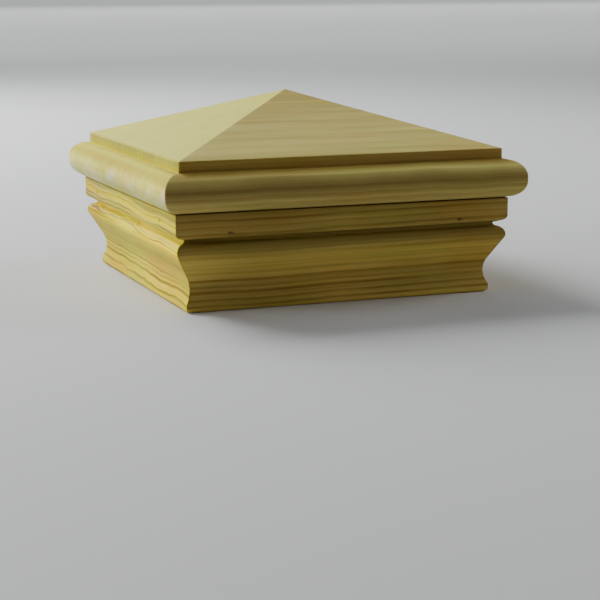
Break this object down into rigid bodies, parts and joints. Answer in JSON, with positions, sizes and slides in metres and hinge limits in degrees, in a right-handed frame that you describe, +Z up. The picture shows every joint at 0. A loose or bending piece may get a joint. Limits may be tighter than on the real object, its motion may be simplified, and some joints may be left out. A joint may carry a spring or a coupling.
{
  "type": "fence post cap",
  "caption": "Square wooden post cap: a low pyramid top with a bullnose edge on a mitred ogee skirt whose socket drops over a post end.",
  "frame": {"origin": "middle of the socket's mouth, level with the underside of the skirt", "axes": "+Z up towards the apex, along the post; +X to the right and -Y to the front, square to the skirt's sides"},
  "size_m": [0.1396, 0.1396, 0.074],
  "materials": {
    "treated_pine_top": "bare, planed, pale greenish yellow",
    "treated_pine_moulding": "bare, moulded, yellow with orange latewood",
    "treated_plywood": "bare, sanded",
    "galvanised_steel": "dull zinc"
  },
  "bodies": {
    "root": {"pyramid_top": "treated_pine_top", "seat_plate": "treated_plywood", "moulding_front": "treated_pine_moulding", "moulding_right": "treated_pine_moulding", "moulding_back": "treated_pine_moulding", "moulding_left": "treated_pine_moulding", "brad_front_left": "galvanised_steel", "brad_front_right": "galvanised_steel", "brad_right_left": "galvanised_steel", "brad_right_right": "galvanised_steel", "brad_back_left": "galvanised_steel", "brad_back_right": "galvanised_steel", "brad_left_left": "galvanised_steel", "brad_left_right": "galvanised_steel", "plate_screw_front_left": "galvanised_steel", "plate_screw_front_right": "galvanised_steel", "plate_screw_back_right": "galvanised_steel", "plate_screw_back_left": "galvanised_steel", "mitre_staple_front_left": "galvanised_steel", "mitre_staple_front_right": "galvanised_steel", "mitre_staple_back_right": "galvanised_steel", "mitre_staple_back_left": "galvanised_steel"}
  },
  "joints": []
}
